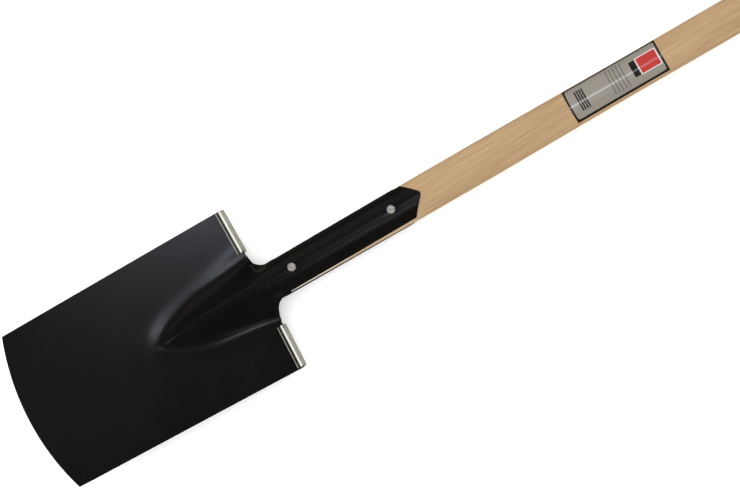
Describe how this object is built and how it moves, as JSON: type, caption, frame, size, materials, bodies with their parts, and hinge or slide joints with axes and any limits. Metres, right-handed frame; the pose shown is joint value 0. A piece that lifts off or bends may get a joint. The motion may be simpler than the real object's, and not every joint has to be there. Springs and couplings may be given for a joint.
{
  "type": "garden spade",
  "caption": "Digging spade with a pressed steel blade, metal foot treads, riveted straps and a wooden shaft with a T-grip.",
  "frame": {"origin": "middle of the bounding box's underside, with the spade lying on its back and its front face up", "axes": "+X up the shaft from the cutting edge to the grip, +Y across the blade, +Z out of the front face"},
  "size_m": [1.1412, 0.1854, 0.0492],
  "materials": {
    "black_steel": "satin black lacquer over pressed steel",
    "bright_steel": "bright rolled sheet, lightly brushed along its length",
    "rivet_steel": "bright zinc, lightly hammered",
    "ash_wood": "fine sanded ash, thin clear oil",
    "foil": "satin silver foil with a black border and a red band"
  },
  "bodies": {
    "root": {"blade": "black_steel", "back_strap": "black_steel", "neck_weld_left": "black_steel", "neck_weld_right": "black_steel", "foot_weld_left": "black_steel", "foot_weld_right": "black_steel", "tread_left": "bright_steel", "tread_right": "bright_steel", "rivet_lower": "rivet_steel", "rivet_upper": "rivet_steel", "shaft": "ash_wood", "label": "foil", "grip_crosspiece": "ash_wood", "grip_wedge": "ash_wood", "grip_pin": "rivet_steel"}
  },
  "joints": []
}
